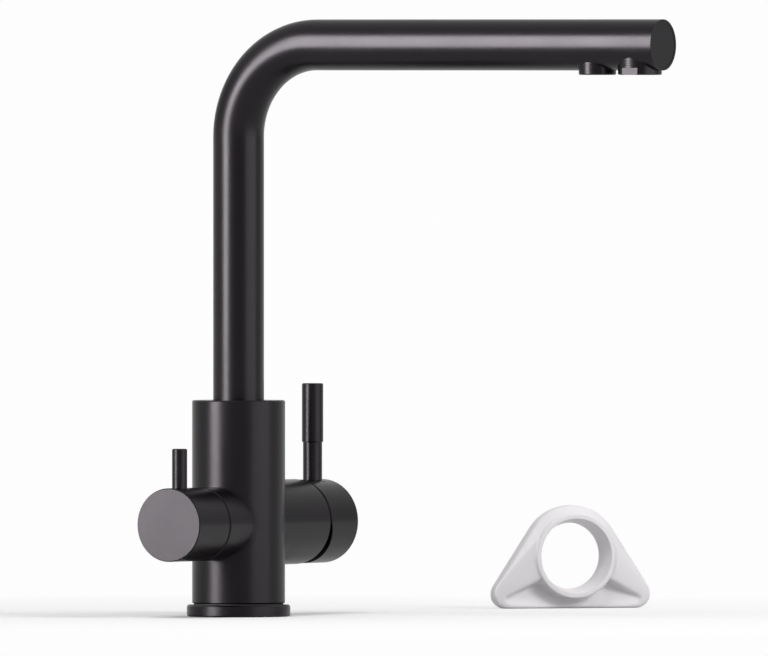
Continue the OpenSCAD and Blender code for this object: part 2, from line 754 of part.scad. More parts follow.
module filter_knob() {
  color(satin_black)
    difference() {
      union() {
        difference() {
          towards_filter(knob_start)
            chamfered_bar(filter_knob_d, filter_knob_end - knob_start, edge_chamfer);
          towards_filter(knob_start - cut)
            cylinder(
              d = filter_knob_d - 2 * filter_knob_wall,
              h = filter_knob_end - filter_face_t - knob_start + cut
            );
        }
        towards_filter(knob_hub_start)
          cylinder(d = knob_hub_d, h = filter_knob_end - filter_face_t / 2 - knob_hub_start);
        translate([0, -filter_lever_y, side_axis_z])
          cylinder(d = filter_lever_d + 2 * lever_pad, h = filter_knob_d / 2 - filter_knob_wall / 2);
      }
      difference() {
        towards_filter(knob_hub_start - cut)
          cylinder(d = spindle_d + 2 * running_clear, h = spindle_end - knob_hub_start + cut + fit_clear);
        translate([-spindle_d, -spindle_end - cut, side_axis_z + spindle_flat + running_clear])
          cube([2 * spindle_d, spindle_end - knob_hub_start + 2 * cut, spindle_d]);
      }
      translate([0, -filter_lever_y, side_axis_z])
        cylinder(d = filter_stud_d + 2 * fit_clear, h = filter_knob_d);
      translate([0, -filter_lever_y, filter_pin_seat])
        cylinder(d = filter_lever_d + 2 * running_clear, h = filter_knob_d);
    }
}

module filter_lever_pin() {
  stud_start = side_axis_z + spindle_flat + fit_clear;
  color(satin_black)
    translate([0, -filter_lever_y, 0]) {
      translate([0, 0, filter_pin_seat])
        chamfered_bar(filter_lever_d, filter_lever_top - filter_pin_seat, edge_chamfer);
      translate([0, 0, stud_start]) cylinder(d = filter_stud_d, h = filter_pin_seat - stud_start + cut);
    }
}

module spout_retaining_screw() {
  socket_flats = retaining_screw_d / 2;
  groove_r = spigot_outer_d / 2 - retaining_groove_depth;
  length = column_d / 2 - groove_r - loose_clear;
  color(steel)
    translate([-column_d / 2 + fit_clear, 0, retaining_z])
      rotate([0, 90, 0])
        difference() {
          cylinder(d = retaining_screw_d, h = length - fit_clear);
          translate([0, 0, -cut])
            cylinder(d = socket_flats / cos(30), h = retaining_screw_d / 2 + cut, $fn = 6);
        }
}

module lower_slip_ring() {
  color(polymer)
    translate([0, 0, bore_floor + fit_clear])
      ring(spout_bore_d - 2 * fit_clear, spigot_inner_d, spigot_bottom - bore_floor - 2 * fit_clear);
}

module upper_slip_ring() {
  ring_h = tube_seat - 3 * seal_play;
  color(dark_polymer)
    translate([0, 0, column_top - ring_h - loose_clear])
      ring(spout_bore_d - 2 * fit_clear, spout_d + 2 * running_clear, ring_h);
}

module spout_tube() {
  color(satin_black)
    difference() {
      spout_route(spout_d, tube_bottom, spout_reach);
      spout_route(spout_inner_d, tube_bottom - cut, spout_reach + cut);
      translate([filtered_x, 0, outlet_bottom])
        cylinder(d = filtered_d + 2 * fit_clear, h = spout_level - outlet_bottom);
      translate([mixed_x, 0, outlet_bottom])
        cylinder(d = mixed_d + 2 * fit_clear, h = spout_level - outlet_bottom);
    }
}

// The O-ring places, as heights of their middles
seal_levels = [for (i = [0:1]) bore_floor + seal_height + i * seal_pitch];

module spout_spigot() {
  color(brass)
    difference() {
      union() {
        translate([0, 0, spigot_bottom])
          cylinder(d = spigot_outer_d, h = tube_bottom - spigot_bottom);
        translate([0, 0, spigot_bottom])
          cylinder(d = spout_inner_d - 2 * fit_clear, h = tube_bottom - spigot_bottom + spigot_neck_l);
      }
      translate([0, 0, spigot_bottom - cut])
        cylinder(d = spigot_inner_d, h = tube_bottom + spigot_neck_l);
      for (level = seal_levels)
        translate([0, 0, level - seal_groove_h / 2])
          ring(spout_bore_d, seal_groove_d, seal_groove_h);
      translate([0, 0, retaining_z - retaining_groove_h / 2])
        ring(spout_bore_d, spigot_outer_d - 2 * retaining_groove_depth, retaining_groove_h);
    }
}

module spout_seals() {
  color(rubber)
    for (level = seal_levels)
      translate([0, 0, level])
        rotate_extrude()
          translate([spout_bore_d / 2 - fit_clear - spout_seal_t / 2, 0])
            circle(d = spout_seal_t, $fn = 32);
}

module spout_end_cap() {
  color(satin_black)
    translate([spout_reach - end_cap_inset - end_cap_t, 0, spout_level])
      rotate([0, 90, 0])
        cylinder(d = spout_inner_d - 2 * running_clear, h = end_cap_t);
}

module filtered_water_tube() {
  color(polymer)
    difference() {
      inner_route(inner_tube_d, inner_tube_bottom, filter_tube_end);
      inner_route(inner_tube_d - 2 * inner_tube_wall, inner_tube_bottom - cut, filter_tube_end - cut);
    }
}

module filter_tube_seal() {
  color(rubber)
    translate([0, 0, bore_floor - tube_seal_t])
      ring(inner_tube_d + 2 * tube_seal_w, inner_tube_d + fit_clear, tube_seal_t);
}

module filtered_outlet_collar() {
  color(satin_black)
    translate([filtered_x, 0, 0])
      difference() {
        translate([0, 0, outlet_bottom])
          chamfered_bar(filtered_d, filtered_collar_top - outlet_bottom, edge_chamfer);
        translate([0, 0, outlet_bottom - cut])
          cylinder(d = nozzle_d + 2 * fit_clear, h = filter_tube_end - outlet_bottom + cut - fit_clear);
        translate([0, 0, outlet_bottom])
          cylinder(d = inner_tube_d + 2 * fit_clear, h = filtered_collar_top);
      }
}

module filtered_outlet_nozzle() {
  color(polymer)
    translate([filtered_x, 0, outlet_bottom + nozzle_inset])
      difference() {
        cylinder(d = nozzle_d, h = filter_tube_end - outlet_bottom - nozzle_inset - 2 * fit_clear);
        translate([0, 0, -cut]) cylinder(d = inner_tube_d - 2 * inner_tube_wall, h = spout_d);
      }
}

module mixed_outlet_collar() {
  color(satin_black)
    translate([mixed_x, 0, aerator_split + fit_clear / 2])
      ring(mixed_d, aerator_thread_d + 2 * fit_clear, mixed_collar_top - aerator_split);
}

module aerator_housing() {
  color(satin_black)
    translate([mixed_x, 0, 0])
      difference() {
        union() {
          intersection() {
            translate([0, 0, outlet_bottom])
              chamfered_bar(mixed_d, aerator_head_h + edge_chamfer, edge_chamfer);
            translate([-mixed_d / 2, -aerator_flats / 2, outlet_bottom])
              cube([mixed_d, aerator_flats, aerator_head_h]);
          }
          translate([0, 0, outlet_bottom + aerator_head_h / 2])
            cylinder(d = aerator_thread_d, h = aerator_top - outlet_bottom - aerator_head_h / 2);
        }
        translate([0, 0, outlet_bottom - cut]) cylinder(d = aerator_bore_d, h = spout_d);
      }
}

module aerator_insert() {
  color(polymer)
    translate([mixed_x, 0, outlet_bottom + insert_inset])
      difference() {
        cylinder(d = aerator_bore_d - 2 * fit_clear, h = aerator_top - outlet_bottom - insert_inset);
        for (row = [1:3])
          for (i = [0:6 * row - 1])
            rotate([0, 0, i * 60 / row])
              translate([row * aerator_hole_pitch, 0, -cut])
                cylinder(d = aerator_hole_d, h = spout_d);
        translate([0, 0, -cut]) cylinder(d = aerator_hole_d, h = spout_d);
      }
}

module aerator_washer() {
  color(rubber)
    translate([mixed_x, 0, aerator_top])
      ring(aerator_thread_d - 4 * fit_clear, aerator_bore_d - 4 * washer_t, washer_t);
}

module mixer_rotor() {
  slot_up = lever_arm * sin(tilt_range) + stem_leg_d / 2 + loose_clear;
  slot_x = stem_side + 4 * fit_clear;
  color(dark_polymer)
    difference() {
      union() {
        towards_mixer(rotor_inner)
          cylinder(d = housing_bore_d - 2 * loose_clear, h = rotor_flange_top - rotor_inner);
        towards_mixer(rotor_inner) cylinder(d = rotor_neck_d, h = rotor_outer - rotor_inner);
      }
      translate([-slot_x / 2, rotor_inner - cut, side_axis_z - stem_leg_d / 2 - loose_clear])
        cube([slot_x, stem_block_start - rotor_inner + cut, slot_up + stem_leg_d / 2 + loose_clear]);
      translate([-slot_x / 2, tilt_y - block_swing, side_axis_z - block_swing])
        cube([slot_x, rotor_lug + block_swing + cut, 2 * block_swing]);
      translate([-carrier_rib_w / 2 - fit_clear, rotor_inner - cut, side_axis_z - housing_bore_d / 2])
        cube([carrier_rib_w + 2 * fit_clear, carrier_rib - face_gap + loose_clear + cut, housing_bore_d]);
      translate([-rotor_neck_d / 2 - cut, tilt_y, side_axis_z])
        rotate([0, 90, 0])
          cylinder(d = pivot_pin_d + fit_clear / 2, h = rotor_neck_d + 2 * cut);
    }
}

module stem_pivot_pin() {
  pin_l = rotor_neck_d - step;
  color(steel)
    translate([-pin_l / 2, tilt_y, side_axis_z])
      rotate([0, 90, 0])
        cylinder(d = pivot_pin_d, h = pin_l);
}

module mixer_stem() {
  color(brass)
    difference() {
      union() {
        translate([-stem_side / 2, stem_block_start, side_axis_z - stem_side / 2])
          cube([stem_side, stem_end - stem_block_start, stem_side]);
        towards_mixer(ball_y + stem_neck_l)
          cylinder(d = stem_leg_d, h = stem_block_start - ball_y - stem_neck_l + cut);
        towards_mixer(ball_y) cylinder(d = stem_neck_d, h = stem_neck_l + cut);
        towards_mixer(ball_y) sphere(d = stem_ball_d);
      }
      translate([-stem_side / 2 - cut, tilt_y, side_axis_z])
        rotate([0, 90, 0])
          cylinder(d = pivot_pin_d + 2 * running_clear, h = stem_side + 2 * cut);
    }
}

// Everything below the side axis and behind a plane that leans outwards
module wedge() {
  translate([0, cap_inner, side_axis_z])
    rotate([wedge_angle, 0, 0])
      translate([-mixer_cap_d, -mixer_cap_d, -2 * mixer_cap_d])
        cube([2 * mixer_cap_d, mixer_cap_d, 2 * mixer_cap_d]);
}

module mixer_cap() {
  socket_side = stem_side + 2 * fit_clear;
  color(satin_black)
    difference() {
      union() {
        difference() {
          towards_mixer(cap_inner)
            chamfered_bar(mixer_cap_d, mixer_cap_end - cap_inner, edge_chamfer);
          towards_mixer(cap_inner - cut)
            cylinder(
              d = mixer_cap_d - 2 * mixer_cap_wall,
              h = mixer_cap_end - mixer_face_t - cap_inner + cut
            );
        }
        towards_mixer(hub_start)
          cylinder(d = hub_d, h = mixer_cap_end - mixer_face_t / 2 - hub_start);
        translate([0, mixer_lever_y, side_axis_z])
          cylinder(d = mixer_pin_d + 2 * lever_pad, h = mixer_cap_d / 2 - mixer_cap_wall / 2);
      }
      wedge();
      translate([-socket_side / 2, hub_start - cut, side_axis_z - socket_side / 2])
        cube([socket_side, stem_end + fit_clear - hub_start + cut, socket_side]);
      translate([0, mixer_lever_y, side_axis_z])
        cylinder(d = mixer_stud_d + 2 * fit_clear, h = mixer_cap_d);
      translate([0, mixer_lever_y, mixer_pin_seat])
        cylinder(d = mixer_pin_d + 2 * running_clear, h = mixer_cap_d);
    }
}

module mixer_lever_pin() {
  stud_start = side_axis_z + stem_side / 2 + fit_clear;
  color(satin_black)
    translate([0, mixer_lever_y, 0]) {
      translate([0, 0, mixer_pin_seat]) cylinder(d = mixer_pin_d, h = mixer_pin_top - mixer_pin_seat);
      translate([0, 0, stud_start])
        cylinder(d = mixer_stud_d, h = mixer_pin_seat - stud_start + cut);
      translate([0, 0, mixer_pin_top - cut]) cylinder(d = grip_spigot_d, h = grip_spigot_l + cut);
    }
}

module mixer_lever_grip() {
  color(satin_black)
    translate([0, mixer_lever_y, mixer_pin_top])
      difference() {
        chamfered_bar(mixer_grip_d, mixer_grip_top - mixer_pin_top, edge_chamfer);
        translate([0, 0, -cut])
          cylinder(d = grip_spigot_d + 2 * running_clear, h = grip_spigot_l + cut + fit_clear);
      }
}

module disc_carrier() {
  rib_h = moving_disc_d - 6 * step;
  color(polymer)
    translate([0, 0, disc_rest])
      difference() {
        union() {
          towards_mixer(moving_disc_top) cylinder(d = moving_disc_d, h = carrier_t);
          translate([-carrier_rib_w / 2, carrier_top - cut, side_axis_z - rib_h / 2])
            cube([carrier_rib_w, carrier_rib + cut, rib_h]);
        }
        translate([0, 0, -disc_rest])
          towards_mixer(ball_y - stem_ball_d / 2 - loose_clear)
            cylinder(d = stem_ball_d + 2 * loose_clear, h = carrier_t);
      }
}

module mixer_moving_disc() {
  pocket_depth = moving_disc_t / 2;
  pocket_top = inlet_port_z - inlet_port_d / 2 - seal_play;
  color(ceramic)
    difference() {
      translate([0, 0, disc_rest])
        towards_mixer(fixed_disc_top) cylinder(d = moving_disc_d, h = moving_disc_t);
      intersection() {
        translate([0, 0, disc_rest])
          towards_mixer(fixed_disc_top - cut)
            cylinder(d = moving_disc_d - 4 * step, h = pocket_depth + cut);
        translate([-moving_disc_d, 0, side_axis_z + pocket_top - 2 * moving_disc_d])
          cube([2 * moving_disc_d, 2 * cartridge_d, 2 * moving_disc_d]);
      }
    }
}

// The plate is drawn lying on its back, with its long edge on the X axis and its front up
module plate_shell() {
  corner_x = plate_w / 2 - plate_corner_r;
  top_r = plate_h - collar_z;
  hull() {
    for (side = [-1, 1])
      translate([side * corner_x, plate_corner_r, 0]) {
        cylinder(r = plate_corner_r, h = plate_edge - plate_bevel, $fn = 32);
        cylinder(r = plate_corner_r - plate_bevel, h = plate_edge, $fn = 32);
      }
    translate([0, collar_z, 0]) {
      cylinder(r = top_r, h = plate_edge - plate_bevel);
      cylinder(r = top_r - plate_bevel, h = plate_edge);
      cylinder(d = collar_d, h = plate_depth - plate_bevel);
    }
  }
}

// The sunken triangle between the collar and the long edge
module plate_pocket() {
  crease_out_x = plate_w / 2 - plate_corner_r + 2 * step;
  translate([0, 0, plate_edge])
    rotate([-pocket_tilt, 0, 0])
      linear_extrude(plate_depth + plate_edge)
        polygon([
          [-crease_out_x, -plate_edge], [-crease_out_x, crease_out_y], [-crease_in_x, crease_in_y],
          [0, collar_z], [crease_in_x, crease_in_y], [crease_out_x, crease_out_y],
          [crease_out_x, -plate_edge]
        ]);
}

module mounting_bracket() {
  color(white_polymer)
    translate([plate_x, plate_y, 0])
      rotate([0, 0, plate_turn])
        translate([0, plate_depth / 2, 0])
          rotate([90, 0, 0])
            difference() {
              union() {
                difference() {
                  plate_shell();
                  plate_pocket();
                }
                translate([0, collar_z, 0]) chamfered_bar(collar_d, plate_depth, edge_chamfer);
              }
              translate([0, collar_z, -cut])
                cylinder(d = hole_rear_d, h = plate_depth + 2 * cut);
              translate([0, collar_z, hole_straight])
                cylinder(d1 = hole_rear_d, d2 = hole_front_d, h = plate_depth - hole_straight);
            }
}

base_ring();
base_seal();
deck_seal();
valve_body();
cartridge_base();
cartridge_seals();
mixer_fixed_disc();
cartridge_housing();
cartridge_nut();
cartridge_cover();
filter_seat_seal();
filter_headwork();
filter_fixed_disc();
spout_retaining_screw();
lower_slip_ring();
upper_slip_ring();
spout_tube();
spout_spigot();
spout_seals();
spout_end_cap();
filtered_water_tube();
filter_tube_seal();
filtered_outlet_collar();
filtered_outlet_nozzle();
mixed_outlet_collar();
aerator_housing();
aerator_insert();
aerator_washer();
mixer_rotor();
stem_pivot_pin();
mixer_stem();
mixer_cap();
mixer_lever_pin();
mixer_lever_grip();
disc_carrier();
mixer_moving_disc();
filter_spindle();
filter_moving_disc();
filter_spindle_seal();
filter_spindle_clip();
filter_knob();
filter_lever_pin();
mounting_bracket();
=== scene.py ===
# %% [markdown]
# # A three way kitchen tap in satin black
#
# The tap arrives as a finished engineering model: every tube, valve and screw is already there
# at its real size. What it lacks is a surface. In this lesson we dress it: a camera that sees it
# as a product photographer would, a pale studio, and a material for each thing it is made of.
# All lengths are metres.

# %% Load the engineering model
import json
import math

import bpy
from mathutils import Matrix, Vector


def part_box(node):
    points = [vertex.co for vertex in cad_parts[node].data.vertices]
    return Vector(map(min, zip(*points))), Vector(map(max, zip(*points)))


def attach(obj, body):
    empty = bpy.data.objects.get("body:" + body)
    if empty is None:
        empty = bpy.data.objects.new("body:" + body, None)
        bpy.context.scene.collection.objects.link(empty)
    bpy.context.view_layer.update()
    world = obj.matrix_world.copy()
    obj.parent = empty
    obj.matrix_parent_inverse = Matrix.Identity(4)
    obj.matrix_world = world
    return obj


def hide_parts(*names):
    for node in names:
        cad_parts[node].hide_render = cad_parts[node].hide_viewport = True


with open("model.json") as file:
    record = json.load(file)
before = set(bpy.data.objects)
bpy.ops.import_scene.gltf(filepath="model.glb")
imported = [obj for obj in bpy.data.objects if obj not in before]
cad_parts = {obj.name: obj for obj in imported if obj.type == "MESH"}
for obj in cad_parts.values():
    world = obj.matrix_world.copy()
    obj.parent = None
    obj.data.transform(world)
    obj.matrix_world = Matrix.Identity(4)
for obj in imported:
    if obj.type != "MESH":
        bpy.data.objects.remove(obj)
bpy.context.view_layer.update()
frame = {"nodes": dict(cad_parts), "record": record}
nodes = frame["nodes"]

# %% [markdown]
# ## The camera
#
# Product shots of taps are taken from far away with a long lens, so that upright and level tubes
# stay parallel. We could use an orthographic camera, but a real lens at fifteen metres gives the
# same look and keeps a trace of depth. The camera stands at the height of the spout and looks a
# little down, with the filter knob turned towards it on the left.

# %% Place the camera
CAMERA_AZIMUTH = math.radians(31)
CAMERA_DISTANCE = 15.0
CAMERA_HEIGHT = 0.3147
SENSOR_WIDTH = 36.0
LENS = 1277.7
CLIP_START = 0.5
CLIP_END = 200
aim = Vector((0.0686, 0.0412, 0.1587))

towards_camera = Vector((math.sin(CAMERA_AZIMUTH), -math.cos(CAMERA_AZIMUTH), 0))
camera_data = bpy.data.cameras.new("camera")
camera_data.sensor_width = SENSOR_WIDTH
camera_data.lens = LENS
camera_data.clip_start = CLIP_START
camera_data.clip_end = CLIP_END
camera = bpy.data.objects.new("camera", camera_data)
bpy.context.scene.collection.objects.link(camera)
camera.location = aim + CAMERA_DISTANCE * towards_camera
camera.location.z = CAMERA_HEIGHT
camera.rotation_mode = "QUATERNION"
camera.rotation_quaternion = (aim - camera.location).to_track_quat("-Z", "Y")
bpy.context.scene.camera = camera
print("camera at", [round(v, 3) for v in camera.location])

# %% [markdown]
# ## Helpers for node materials
#
# Every finish of the tap starts from the same three steps: make a Principled shader, feed it a
# noise pattern that is fixed to the object, and turn that noise into a tiny bump. Object
# coordinates are the safe choice, because the pattern then stays with the piece when it moves.
# We wrap these steps in small functions, so that each finish below reads as a short recipe. A
# noise pattern seldom leaves the range from 0.3 to 0.7, so that is the range that we remap.

# %% Write the material helpers
NOISE_LOW = 0.3
NOISE_HIGH = 0.7


def new_material(name):
    """An empty node material with its shader, ready to be wired."""
    material = bpy.data.materials.new(name)
    material.use_nodes = True
    shader = material.node_tree.nodes["Principled BSDF"]
    return material, material.node_tree, shader


def noise_field(tree, scale, detail=3.0, stretch=(1, 1, 1)):
    """A noise pattern on Object coordinates, scale in features per metre."""
    place = tree.nodes.new("ShaderNodeTexCoord")
    mapping = tree.nodes.new("ShaderNodeMapping")
    mapping.inputs["Scale"].default_value = stretch
    noise = tree.nodes.new("ShaderNodeTexNoise")
    noise.inputs["Scale"].default_value = scale
    noise.inputs["Detail"].default_value = detail
    tree.links.new(place.outputs["Object"], mapping.inputs["Vector"])
    tree.links.new(mapping.outputs["Vector"], noise.inputs["Vector"])
    return noise.outputs["Fac"]


def remap(tree, value, low, high):
    """A noise pattern brought to the range from low to high, clamped."""
    node = tree.nodes.new("ShaderNodeMapRange")
    node.inputs["From Min"].default_value = NOISE_LOW
    node.inputs["From Max"].default_value = NOISE_HIGH
    node.inputs["To Min"].default_value = low
    node.inputs["To Max"].default_value = high
    tree.links.new(value, node.inputs["Value"])
    return node.outputs["Result"]


def add_bump(tree, shader, height, distance, strength=1.0):
    """A bump from a height pattern, distance in metres."""
    bump = tree.nodes.new("ShaderNodeBump")
    bump.inputs["Distance"].default_value = distance
    bump.inputs["Strength"].default_value = strength
    tree.links.new(height, bump.inputs["Height"])
    tree.links.new(bump.outputs["Normal"], shader.inputs["Normal"])


def blend_colours(tree, factor, first, second):
    """A colour between two, by a factor from 0 to 1."""
    mix = tree.nodes.new("ShaderNodeMix")
    mix.data_type = "RGBA"
    mix.inputs["A"].default_value = (*first, 1)
    mix.inputs["B"].default_value = (*second, 1)
    tree.links.new(factor, mix.inputs["Factor"])
    return mix.outputs["Result"]


print("material helpers ready")

# %% [markdown]
# ## Satin black coating
#
# The tap is brass and steel under a satin black coating, sprayed and baked. Seen closely such a
# coating has a very fine grain, like the skin of an olive, and its gloss varies a little from
# place to place. A plain black with one roughness would look like plastic film, so a fine noise
# makes the grain and a coarse one moves the roughness by a few hundredths. The black isn't quite
# neutral either: a little less green, in its colour and in its gloss, gives it a trace of purple.

# %% Mix the satin black
COATING_GRAIN_SCALE = 2600
COATING_GRAIN_DEPTH = 0.00002
COATING_BUMP = 0.35
COATING_CLOUD_SCALE = 45
COATING_DARKEST = (0.0026, 0.0016, 0.0026)
COATING_LIGHTEST = (0.0036, 0.0025, 0.0036)
COATING_SMOOTHEST = 0.28
COATING_ROUGHEST = 0.32
COATING_IOR = 1.32
COATING_TINT = (1.0, 0.93, 1.0, 1.0)


def make_satin_black():
    material, tree, shader = new_material("satin_black")
    grain = noise_field(tree, COATING_GRAIN_SCALE, detail=2.0)
    cloud = noise_field(tree, COATING_CLOUD_SCALE, detail=4.0)
    tone = blend_colours(tree, cloud, COATING_DARKEST, COATING_LIGHTEST)
    gloss = remap(tree, cloud, COATING_SMOOTHEST, COATING_ROUGHEST)
    tree.links.new(tone, shader.inputs["Base Color"])
    tree.links.new(gloss, shader.inputs["Roughness"])
    shader.inputs["IOR"].default_value = COATING_IOR
    shader.inputs["Specular Tint"].default_value = COATING_TINT
    add_bump(tree, shader, grain, COATING_GRAIN_DEPTH, COATING_BUMP)
    return material


satin_black = make_satin_black()
print("made", satin_black.name)

# %% [markdown]
# ## Metals inside the tap
#
# The working parts are plain turned brass and steel. A lathe leaves fine rings, which scatter
# light along the turning. Stretching a noise pattern along two axes imitates those rings well
# enough at this size, without one texture for each axis of turning.

# %% Mix the metals
RINGS_SCALE = 900
RINGS_STRETCH = (1, 1, 6)
RINGS_DEPTH = 0.00001
RINGS_BUMP = 0.4
METAL_CLOUD_SCALE = 60
METAL_GLOSS_SPREAD = 0.06


def make_metal(name, first, second, roughness):
    material, tree, shader = new_material(name)
    rings = noise_field(tree, RINGS_SCALE, detail=2.0, stretch=RINGS_STRETCH)
    cloud = noise_field(tree, METAL_CLOUD_SCALE)
    gloss = remap(tree, rings, roughness - METAL_GLOSS_SPREAD, roughness + METAL_GLOSS_SPREAD)
    tree.links.new(blend_colours(tree, cloud, first, second), shader.inputs["Base Color"])
    tree.links.new(gloss, shader.inputs["Roughness"])
    shader.inputs["Metallic"].default_value = 1.0
    add_bump(tree, shader, rings, RINGS_DEPTH, RINGS_BUMP)
    return material


turned_brass = make_metal("turned_brass", (0.70, 0.52, 0.24), (0.78, 0.60, 0.30), roughness=0.3)
plain_steel = make_metal("plain_steel", (0.55, 0.56, 0.57), (0.63, 0.64, 0.65), roughness=0.28)
print("made", turned_brass.name, "and", plain_steel.name)

# %% [markdown]
# ## Moulded plastics, rubber and ceramic
#
# Seals are soft black rubber, bearings and cartridge parts are moulded plastic, and the valve
# discs are lapped ceramic. They differ mostly in colour and gloss, so one recipe serves them
# all. It takes the two colours that it blends, a roughness, and the scale and the depth of the
# surface's grain.

# %% Mix the plastics, the rubber and the ceramic
MOULDED_CLOUD_SCALE = 70
MOULDED_GLOSS_SPREAD = 0.04
MOULDED_BUMP = 0.5


def make_moulded(name, first, second, roughness, grain_scale, grain_depth):
    material, tree, shader = new_material(name)
    grain = noise_field(tree, grain_scale)
    cloud = noise_field(tree, MOULDED_CLOUD_SCALE)
    gloss = remap(tree, cloud, roughness - MOULDED_GLOSS_SPREAD, roughness + MOULDED_GLOSS_SPREAD)
    tree.links.new(blend_colours(tree, cloud, first, second), shader.inputs["Base Color"])
    tree.links.new(gloss, shader.inputs["Roughness"])
    add_bump(tree, shader, grain, grain_depth, MOULDED_BUMP)
    return material


black_rubber = make_moulded(
    "black_rubber", (0.012,) * 3, (0.02,) * 3,
    roughness=0.7, grain_scale=1200, grain_depth=0.00004,
)
pale_polymer = make_moulded(
    "pale_polymer", (0.66, 0.66, 0.63), (0.74, 0.74, 0.72),
    roughness=0.45, grain_scale=1500, grain_depth=0.00002,
)
dark_polymer = make_moulded(
    "dark_polymer", (0.018,) * 3, (0.028,) * 3,
    roughness=0.5, grain_scale=1500, grain_depth=0.00002,
)
lapped_ceramic = make_moulded(
    "lapped_ceramic", (0.82, 0.83, 0.84), (0.88, 0.89, 0.9),
    roughness=0.15, grain_scale=4000, grain_depth=0.000004,
)
white_plastic = make_moulded(
    "white_plastic", (0.765, 0.742, 0.765), (0.805, 0.781, 0.805),
    roughness=0.5, grain_scale=260, grain_depth=0.00003,
)
print("made the plastics, the rubber and the ceramic")

# %% [markdown]
# ## Dress the engineering pieces
#
# Each piece of the engineering model carries the name of its material in the record. We look up
# that name and hand over the matching finish, so no piece is forgotten and a piece that is added
# later is dressed by itself.

# %% Give every piece its finish
FINISHES = {
    "satin_black": satin_black,
    "brass": turned_brass,
    "steel": plain_steel,
    "ceramic": lapped_ceramic,
    "rubber": black_rubber,
    "polymer": pale_polymer,
    "dark_polymer": dark_polymer,
    "white_plastic": white_plastic,
}

for part in frame["record"]["subparts"]:
    node = nodes[part["node"]]
    node.data.materials.clear()
    node.data.materials.append(FINISHES[part["material_slot"]])

# %% [markdown]
# ## Helpers for modelling
#
# Some steps come back again and again: to select one piece and nothing else, to pick vertices by
# their place, and to apply a move, which writes it into the mesh and leaves the object unturned
# at the origin. Edges and faces keep their own selection when only vertices are picked, so
# pick_vertices clears everything in edit mode first.

# %% Write the modelling helpers
SMOOTH_ANGLE = math.radians(40)


def select_only(piece):
    """Selects one piece and makes it the active one."""
    bpy.ops.object.select_all(action="DESELECT")
    piece.select_set(True)
    bpy.context.view_layer.objects.active = piece


def apply_transforms():
    """Writes the place, turn and scale of the selected piece into its mesh."""
    bpy.ops.object.transform_apply(location=True, rotation=True, scale=True)


def pick_vertices(piece, wanted):
    """In edit mode, selects only the vertices whose place is wanted."""
    bpy.ops.mesh.select_all(action="DESELECT")
    bpy.ops.object.mode_set(mode="OBJECT")
    for vertex in piece.data.vertices:
        vertex.select = wanted(vertex.co)
    bpy.ops.object.mode_set(mode="EDIT")


print("modelling helpers ready")

# %% [markdown]
# ## The ridged neck of the mixed water outlet
#
# The aerator screws onto a short neck under the end of the spout, and the light on that neck is
# faintly broken by fine ridges, a little more than a millimetre apart. They are shallow, but they
# are a shape and not a finish, so we model them. One ridge is drawn as a band of a cylinder and
# extruded loop by loop, and an array repeats it up the neck.

# %% Turn the ridged neck
NECK_STEPS = 96
NECK_BORE_RADIUS = 0.01055
RIDGE_COUNT = 5
RIDGE_DEPTH = 0.00003
LOOPS_PER_RIDGE = 4

neck_low, neck_high = (Vector(corner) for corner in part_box("mixed_outlet_collar"))
neck_radius = (neck_high.x - neck_low.x) / 2
neck_centre = (neck_low + neck_high) / 2
ridge_pitch = (neck_high.z - neck_low.z) / RIDGE_COUNT
band = ridge_pitch / LOOPS_PER_RIDGE
loop_tolerance = band / 10


def pick_loop(ring, height):
    """Selects the loop of vertices at a height."""
    pick_vertices(ring, lambda place: abs(place.z - height) < loop_tolerance)


def grow_loop(rise, factor):
    """Extrudes the selected loop upwards and scales it about the neck's axis."""
    bpy.ops.mesh.extrude_region_move(TRANSFORM_OT_translate={"value": (0, 0, rise)})
    bpy.ops.transform.resize(value=(factor, factor, 1), center_override=(0, 0, 0))


bpy.ops.mesh.primitive_cylinder_add(
    vertices=NECK_STEPS,
    radius=neck_radius,
    depth=band,
    end_fill_type="NOTHING",
    location=(0, 0, band / 2),
)
neck = bpy.context.object
neck.name = "ridged_outlet_neck"
apply_transforms()
bpy.ops.object.mode_set(mode="EDIT")
bpy.ops.mesh.select_mode(type="VERT")
valley = 1 - RIDGE_DEPTH / neck_radius
pick_loop(neck, band)
grow_loop(band, valley)
grow_loop(band, 1)
grow_loop(band, 1 / valley)
bpy.ops.object.mode_set(mode="OBJECT")
ridges = neck.modifiers.new("ridges", "ARRAY")
ridges.use_relative_offset = False
ridges.use_constant_offset = True
ridges.constant_offset_displace = (0, 0, ridge_pitch)
ridges.count = RIDGE_COUNT
ridges.use_merge_vertices = True
ridges.merge_threshold = loop_tolerance
bpy.ops.object.modifier_apply(modifier=ridges.name)
print("neck with", RIDGE_COUNT, "ridges of", round(ridge_pitch * 1000, 2), "mm")

# %% [markdown]
# ## Closing the neck
#
# So far the ridges are an open sleeve without a wall. The neck is really a tube, because the
# water runs through it, so its first and last loops are copied and scaled down to the bore, and
# the two small loops are bridged. That closes the wall without any cap to cut out again.

# %% Close the neck and put it in its place
bore = NECK_BORE_RADIUS / neck_radius
neck_length = RIDGE_COUNT * ridge_pitch
bpy.ops.object.mode_set(mode="EDIT")
for height in (0, neck_length):
    pick_loop(neck, height)
    grow_loop(0, bore)
pick_vertices(neck, lambda place: place.xy.length < (NECK_BORE_RADIUS + neck_radius) / 2)
bpy.ops.mesh.bridge_edge_loops()
bpy.ops.mesh.select_all(action="SELECT")
bpy.ops.mesh.normals_make_consistent(inside=False)
bpy.ops.object.mode_set(mode="OBJECT")
neck.location = (neck_centre.x, neck_centre.y, neck_low.z)
apply_transforms()
bpy.ops.object.shade_smooth_by_angle(angle=SMOOTH_ANGLE)
neck.data.materials.append(satin_black)
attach(neck, "spout")
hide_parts("mixed_outlet_collar")
print("neck has", len(neck.data.polygons), "faces")

